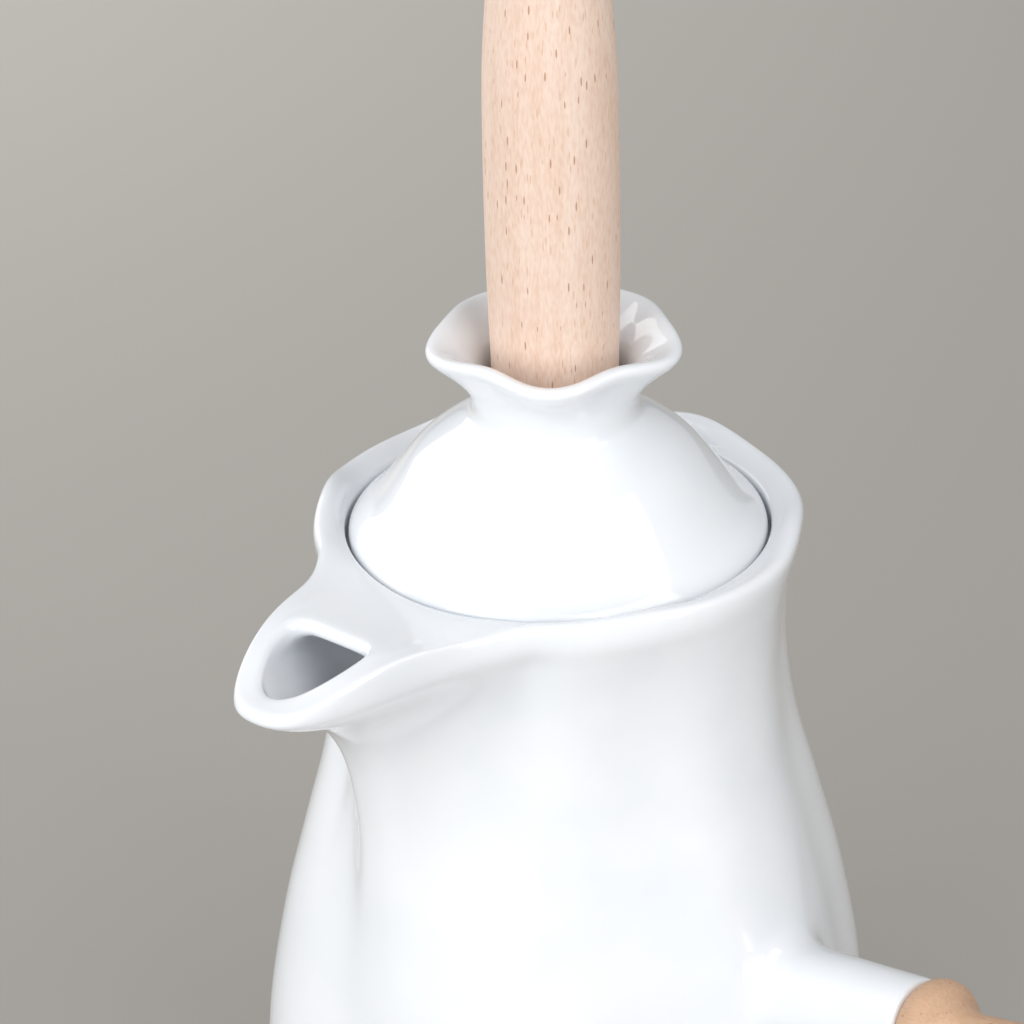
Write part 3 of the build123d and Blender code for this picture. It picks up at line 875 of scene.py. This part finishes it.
@dataclass
class CollaredLid:
    """The bell-shaped drop-in lid, with a waved collar round the stick, in millimetres."""

    columns: int = 80
    levels: int = 2
    waves: int = 5
    wave_angle: float = math.radians(-52.4)
    radial_wave: float = 1.4
    height_wave: float = 0.65

    def outline(self) -> list[Triple]:
        """Radius, height and share of the collar's wave of each ring, from the ledge and back."""
        ledge = [
            (7.6, 189.0), (7.5, 190.5), (7.6, 192.6), (8.4, 193.0), (12.6, 193.0), (13.45, 193.3),
            (13.6, 194.6),
        ]
        collar = [
            (13.6, 198.0, 0.0), (13.9, 202.0, 0.1), (15.2, 205.6, 0.35), (17.9, 208.6, 0.7),
            (20.4, 210.4, 0.9), (22.0, 211.25, 1.0), (23.3, 211.5, 1.0), (24.4, 211.0, 1.0),
            (24.7, 209.9, 1.0), (24.0, 208.7, 0.95), (21.8, 206.6, 0.75), (19.4, 204.0, 0.45),
            (17.6, 201.3, 0.2), (16.75, 198.9, 0.05),
        ]
        bell = [
            (16.6, 196.0), (17.0, 194.4), (18.6, 193.0), (21.5, 191.2), (24.2, 189.3),
            (28.0, 186.4), (31.9, 181.5), (35.4, 176.7), (38.2, 173.2), (40.6, 171.3),
            (42.0, 169.9), (42.25, 168.6), (42.1, 167.2), (41.2, 166.3),
        ]
        skirt = [
            (39.6, 166.2), (39.3, 165.8), (39.3, 160.0), (39.3, 155.0), (38.8, 154.25),
            (36.2, 154.25), (35.7, 154.9), (35.7, 161.0), (35.7, 168.0), (35.7, 170.6),
        ]
        underside = [
            (34.6, 172.9), (30.2, 178.3), (25.6, 183.7), (22.5, 185.8), (17.5, 187.6),
            (13.6, 188.6), (8.6, 188.75),
        ]
        plain = [(radius, height, 0.0) for radius, height in bell + skirt + underside]
        return [(radius, height, 0.0) for radius, height in ledge] + collar + plain

    def build(self) -> bpy.types.Object:
        """Builds the lid's subdivision surface."""
        outline = self.outline()
        bm = lathe([(radius, height) for radius, height, _ in outline], self.columns, closed=True)
        number = bm.verts.layers.int["ring"]
        for vert in bm.verts:
            turn = math.atan2(vert.co.y, vert.co.x)
            share = outline[vert[number]][2] * math.cos((turn - self.wave_angle) * self.waves)
            radius = vert.co.to_2d().length + self.radial_wave * share
            vert.co = polar(radius, turn, vert.co.z - self.height_wave * share)
        return finish_piece(bm, "lid_porcelain", self.levels)


@dataclass
class TurnedStick:
    """The stirrer's turned stick, with the blind bore for its shaft, in millimetres."""

    columns: int = 48
    levels: int = 2

    def outline(self) -> list[Pair]:
        """Radius and height of each ring, from the bore's end down, out and up to the knob."""
        bore = [
            (0.0, 224.4), (5.6, 224.4), (6.5, 224.2), (6.55, 223.4), (6.55, 208.0), (6.55, 194.0),
            (6.9, 193.4),
        ]
        stick = [
            (11.2, 193.3), (12.2, 193.5), (12.5, 194.6), (12.55, 199.0), (12.7, 207.0),
            (12.95, 216.0), (13.2, 226.0), (13.28, 236.0), (13.28, 246.0), (13.26, 256.0),
            (13.1, 266.0), (12.72, 273.5), (12.1, 281.0), (11.6, 288.0), (11.35, 294.0),
            (11.6, 300.0), (12.35, 306.5), (13.0, 312.0), (13.2, 316.5), (12.8, 320.5),
            (11.0, 323.6), (7.6, 325.4), (3.6, 326.0), (0.0, 326.1),
        ]
        return bore + stick

    def build(self) -> bpy.types.Object:
        """Builds the stick's subdivision surface."""
        return finish_piece(lathe(self.outline(), self.columns), "stick_beech", self.levels)


# ---------------------------------------------------------------- studio


@dataclass(frozen=True)
class Softbox:
    """A rectangular lamp that faces the pot, or another place it is aimed at.

    azimuth is turned from the spout's way towards the handle's, and both angles are degrees;
    distance, size and aim are metres. The glaze mirrors the lamp unless mirrored is False.
    """

    name: str
    azimuth: float
    elevation: float
    distance: float
    size: Pair
    power: float
    aim: Triple = (0.0, 0.0, 0.15)
    mirrored: bool = True

    def hang(self) -> None:
        """Hangs the lamp."""
        level = self.distance * math.cos(math.radians(self.elevation))
        turn = math.radians(self.azimuth)
        rise = self.distance * math.sin(math.radians(self.elevation))
        arm = Vector((level * math.sin(turn), -level * math.cos(turn), rise))
        data = bpy.data.lights.new(self.name, "AREA")
        data.shape = "RECTANGLE"
        data.size, data.size_y = self.size
        data.energy = self.power
        lamp = bpy.data.objects.new(self.name, data)
        turned = (-arm).to_track_quat("-Z", "Y").to_matrix().to_4x4()
        lamp.matrix_world = Matrix.Translation(Vector(self.aim) + arm) @ turned
        lamp.visible_glossy = self.mirrored
        bpy.context.scene.collection.objects.link(lamp)


@dataclass
class Studio:
    """The floor, the lamps and the camera of the photograph."""

    floor_colour: Colour = (0.37, 0.354, 0.328, 1.0)
    floor_roughness: float = 0.75
    floor_half_width: float = 6000.0
    world_strength: float = 0.42
    lamps: tuple[Softbox, ...] = (
        Softbox("window_softbox", 85.0, 47.0, 1.2, (1.02, 0.52), 3.6),
        Softbox("front_softbox", 14.0, 47.0, 1.2, (2.2, 0.62), 5.2),
        Softbox("low_front_softbox", 5.0, 12.0, 1.6, (1.4, 0.9), 12.5),
        Softbox("left_softbox", -78.0, 22.0, 1.8, (2.0, 1.2), 11.0),
        Softbox("side_strip", 84.5, 10.0, 1.25, (0.30, 0.60), 3.2),
        Softbox(
            "backdrop_softbox", 0.0, 90.0, 0.5, (0.8, 0.8), 3.0, (-0.866, 0.5, 0.0), mirrored=False
        ),
    )
    aim: Triple = (0.0, 0.0, 0.170)
    aim_in_frame: Pair = (0.04482, -0.00635)
    azimuth: float = math.radians(41.0)
    elevation: float = math.radians(27.69)
    roll: float = math.radians(-1.37)
    distance: float = 0.9
    lens: float = 157.68
    sensor: float = 36.0

    def build(self) -> None:
        """Builds the whole studio."""
        self.lay_floor()
        self.light_world()
        for lamp in self.lamps:
            lamp.hang()
        self.set_camera()
        bpy.context.scene.view_settings.view_transform = "Standard"

    def lay_floor(self) -> None:
        """Lays a plain pale floor."""
        bm = bmesh.new()
        bmesh.ops.create_grid(bm, x_segments=2, y_segments=2, size=self.floor_half_width)
        floor = finish_piece(bm, "floor", 0)
        sheet = FinishSheet("pale_floor")
        sheet.dress(Base_Color=self.floor_colour, Roughness=self.floor_roughness)
        floor.data.materials.append(sheet.material)

    def light_world(self) -> None:
        """Gives the world an even white light."""
        world = bpy.data.worlds.new("studio")
        world.use_nodes = True
        background = world.node_tree.nodes["Background"]
        background.inputs["Color"].default_value = (1.0, 1.0, 1.0, 1.0)
        background.inputs["Strength"].default_value = self.world_strength
        bpy.context.scene.world = world

    def set_camera(self) -> None:
        """Sets the photograph's camera, with the lid's middle at its place in the frame."""
        outward = Vector((math.sin(self.azimuth), -math.cos(self.azimuth), 0.0))
        level = Vector((math.cos(self.azimuth), math.sin(self.azimuth), 0.0))
        zenith = Vector((0.0, 0.0, 1.0))
        forward = -outward * math.cos(self.elevation) - zenith * math.sin(self.elevation)
        upright = -outward * math.sin(self.elevation) + zenith * math.cos(self.elevation)
        right = level * math.cos(self.roll) + upright * math.sin(self.roll)
        up = upright * math.cos(self.roll) - level * math.sin(self.roll)
        spread = self.sensor / self.lens
        sight = forward + (right * self.aim_in_frame[0] + up * self.aim_in_frame[1]) * spread
        place = Vector(self.aim) - sight.normalized() * self.distance
        data = bpy.data.cameras.new("camera")
        data.sensor_width = self.sensor
        data.lens = self.lens
        camera = bpy.data.objects.new("camera", data)
        turn = Matrix((right, up, -forward)).transposed().to_4x4()
        camera.matrix_world = Matrix.Translation(place) @ turn
        bpy.context.scene.collection.objects.link(camera)
        bpy.context.scene.camera = camera


# ---------------------------------------------------------------- assembly


def place_piece(
    piece: bpy.types.Object,
    finish: bpy.types.Material,
    body: Body,
    replaced: Iterable[str],
) -> None:
    """Dresses a new piece and hangs it on its body.

    Args:
        piece: The new piece.
        finish: Its material.
        body: The body it moves with.
        replaced: The CAD nodes that it stands for.
    """
    piece.data.materials.append(finish)
    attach(piece, body.value)
    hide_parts(*replaced)
    LOG.info("%s rides on %s for %s", piece.name, body.value, ", ".join(replaced))


def redress(node: str, finish: bpy.types.Material) -> None:
    """Gives a CAD node a procedural finish."""
    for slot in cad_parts[node].material_slots:
        slot.material = finish
    LOG.info("%s wears %s", node, finish.name)


def main() -> None:
    """Builds the pieces in order and reports them."""
    logging.basicConfig(level=logging.INFO, format="%(name)s: %(message)s")
    Studio().build()
    pot = LobedPot()
    pot_glaze = GlazedPorcelain("pot_glaze", biscuit_height=0.0007).make()
    lid_glaze = GlazedPorcelain("lid_glaze", biscuit_height=0.1546).make()
    place_piece(pot.build(), pot_glaze, Body.POT, ["pot_body"])
    place_piece(CollaredLid().build(), lid_glaze, Body.LID, ["lid"])
    stick_beech = TurnedBeech("beech_stick").make()
    place_piece(TurnedStick().build(), stick_beech, Body.STIRRER, ["stirrer_grip"])
    redress("stirrer_shaft", TurnedBeech("beech_shaft", centre=(0.004, 0.002, 0.0)).make())
    redress("stirrer_head", TurnedBeech("beech_head", centre=(0.01, -0.003, 0.0)).make())
    redress("stirrer_head_pin", TurnedBeech("beech_pin", tilt=math.radians(90.0)).make())
    handle_beech = TurnedBeech(
        "beech_handle",
        centre=(pot.socket.reach * MM, 0.0, pot.socket.height * MM),
        tilt=pot.socket.tilt - math.radians(90.0),
        pale=(0.64, 0.42, 0.28, 1.0),
        deep=(0.50, 0.30, 0.18, 1.0),
    )
    redress("side_handle", handle_beech.make())
    redress("handle_cement", CuredCement("cured_cement").make())


if __name__ == "__main__":
    main()
